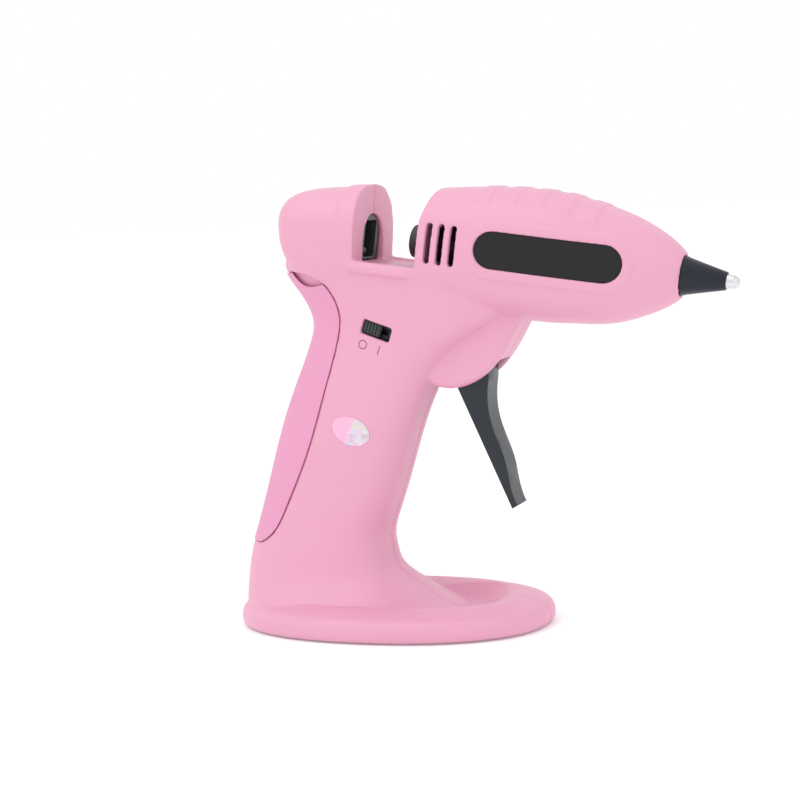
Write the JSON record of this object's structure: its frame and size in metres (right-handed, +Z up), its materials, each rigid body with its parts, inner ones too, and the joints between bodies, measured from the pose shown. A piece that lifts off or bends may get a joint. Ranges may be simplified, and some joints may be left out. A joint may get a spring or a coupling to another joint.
{
  "type": "cordless glue gun",
  "caption": "Cordless hot-melt glue gun with a pistol handle on an oval standing foot, a sprung trigger, an open stick channel and a conical nozzle.",
  "frame": {"origin": "centre of the oval stand's plan, on the table that the rubber feet rest on", "axes": "+X towards the nozzle, +Z up, +Y to the left as seen from behind the gun"},
  "size_m": [0.1715, 0.0728, 0.1451],
  "materials": {
    "shell_pink": "fine satin texture",
    "cover_pink": "satin",
    "foot_rubber": "matte",
    "screw_steel": "plated",
    "grip_rubber": "fine grain",
    "inlay_dark": "satin",
    "sticker_film": "foil and film",
    "cone_silicone": "satin",
    "tip_metal": "turned",
    "bush_plastic": "moulded",
    "chamber_aluminium": "cast",
    "heater_ceramic": "ceramic",
    "sleeve_silicone": "satin",
    "carriage_plastic": "moulded",
    "bar_plastic": "moulded",
    "pin_steel": "ground",
    "jaw_grey": "moulded",
    "trigger_plastic": "satin gloss",
    "spring_steel": "drawn wire",
    "cell_sleeve": "shrink sleeve",
    "tab_nickel": "nickel strip",
    "switch_black": "moulded",
    "knob_black": "moulded",
    "board_green": "solder mask",
    "socket_steel": "stamped"
  },
  "bodies": {
    "body": {"right_shell": "shell_pink", "left_shell": "shell_pink", "base_cover": "cover_pink", "rubber_feet": "foot_rubber", "base_screws": "screw_steel", "shell_screws": "screw_steel", "rear_grip": "grip_rubber", "right_inlay": "inlay_dark", "left_inlay": "inlay_dark", "inspection_sticker": "sticker_film", "nozzle_sleeve": "cone_silicone", "nozzle_tip": "tip_metal", "nose_bush": "bush_plastic", "melt_chamber": "chamber_aluminium", "heater": "heater_ceramic", "intake_sleeve": "sleeve_silicone", "trigger_pin": "pin_steel", "trigger_spring": "spring_steel", "battery_cell": "cell_sleeve", "battery_tabs": "tab_nickel", "switch_body": "switch_black", "switch_board": "board_green", "charge_board": "board_green", "charging_socket": "socket_steel"},
    "trigger": {"trigger": "trigger_plastic", "drive_pin": "pin_steel"},
    "carriage": {"feed_carriage": "carriage_plastic", "pull_bar": "bar_plastic", "bar_rivet": "pin_steel", "jaw_pin": "pin_steel"},
    "jaw": {"stick_jaw": "jaw_grey"},
    "switch_knob": {"switch_knob": "knob_black"}
  },
  "joints": [
    {"name": "trigger_hinge", "type": "hinge", "parent": "body", "child": "trigger", "pos_m": [0.027, 0, 0.0872], "axis": [0, 1, 0], "range_deg": [0, 26], "stiffness_Nm_per_rad": 0.35, "springref_deg": -20.05},
    {"name": "carriage_slide", "type": "slide", "parent": "body", "child": "carriage", "axis": [0.9871, 0, -0.1599], "range_m": [0, 0.011]},
    {"name": "jaw_tilt", "type": "hinge", "parent": "carriage", "child": "jaw", "pos_m": [-0.01102, 0, 0.12441], "axis": [0, -1, 0], "range_deg": [0, 8.2]},
    {"name": "switch_slide", "type": "slide", "parent": "body", "child": "switch_knob", "axis": [0.9397, 0, -0.342], "range_m": [0, 0.0038]}
  ],
  "couplings": [
    {"joint": "carriage_slide", "follows": "trigger_hinge", "m_per_rad": 0.023795},
    {"joint": "jaw_tilt", "follows": "trigger_hinge", "ratio": 0.30769}
  ]
}
